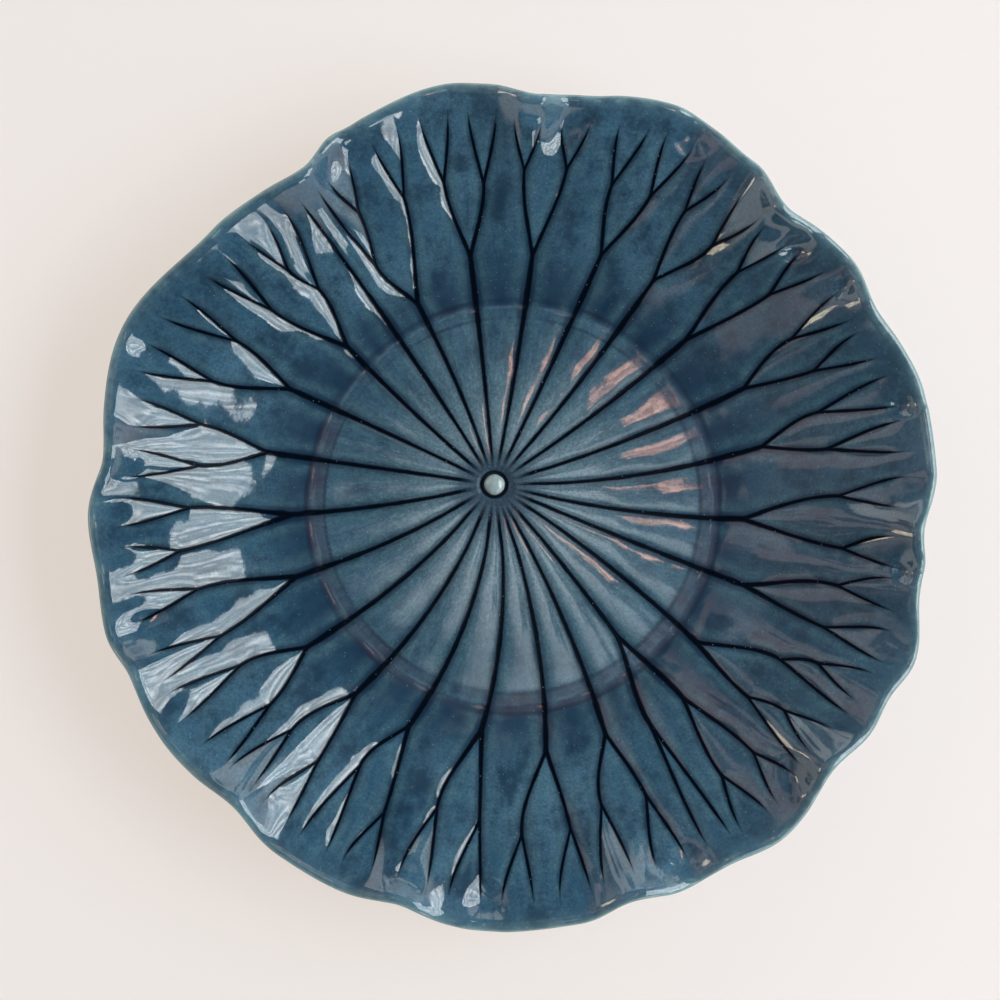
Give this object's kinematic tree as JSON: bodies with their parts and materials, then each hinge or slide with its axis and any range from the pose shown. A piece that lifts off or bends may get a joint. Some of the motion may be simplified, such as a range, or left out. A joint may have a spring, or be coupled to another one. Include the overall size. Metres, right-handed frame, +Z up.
{
  "type": "leaf shaped plate",
  "caption": "Round glazed stoneware plate in the form of a lotus leaf, with a flat well, a ruffled rim, carved veins that fork out from an off-centre boss, and a turned foot ring.",
  "frame": {"origin": "on the table, under the middle of the plate's outline and of its foot ring", "axes": "+Z up out of the dish; the deepest notch of the rim lies towards -X +Y"},
  "size_m": [0.2552, 0.2555, 0.0448],
  "materials": {
    "leaf_glaze": "glossy deep blue glaze that pools dark in the veins and breaks pale on the rim",
    "bare_foot": "glazed sides, with the standing face wiped bare to the fired clay",
    "boss_glaze": "glossy blue glaze, thin and pale on the dome"
  },
  "bodies": {
    "root": {"leaf": "leaf_glaze", "foot_ring": "bare_foot", "centre_boss": "boss_glaze"}
  },
  "joints": []
}
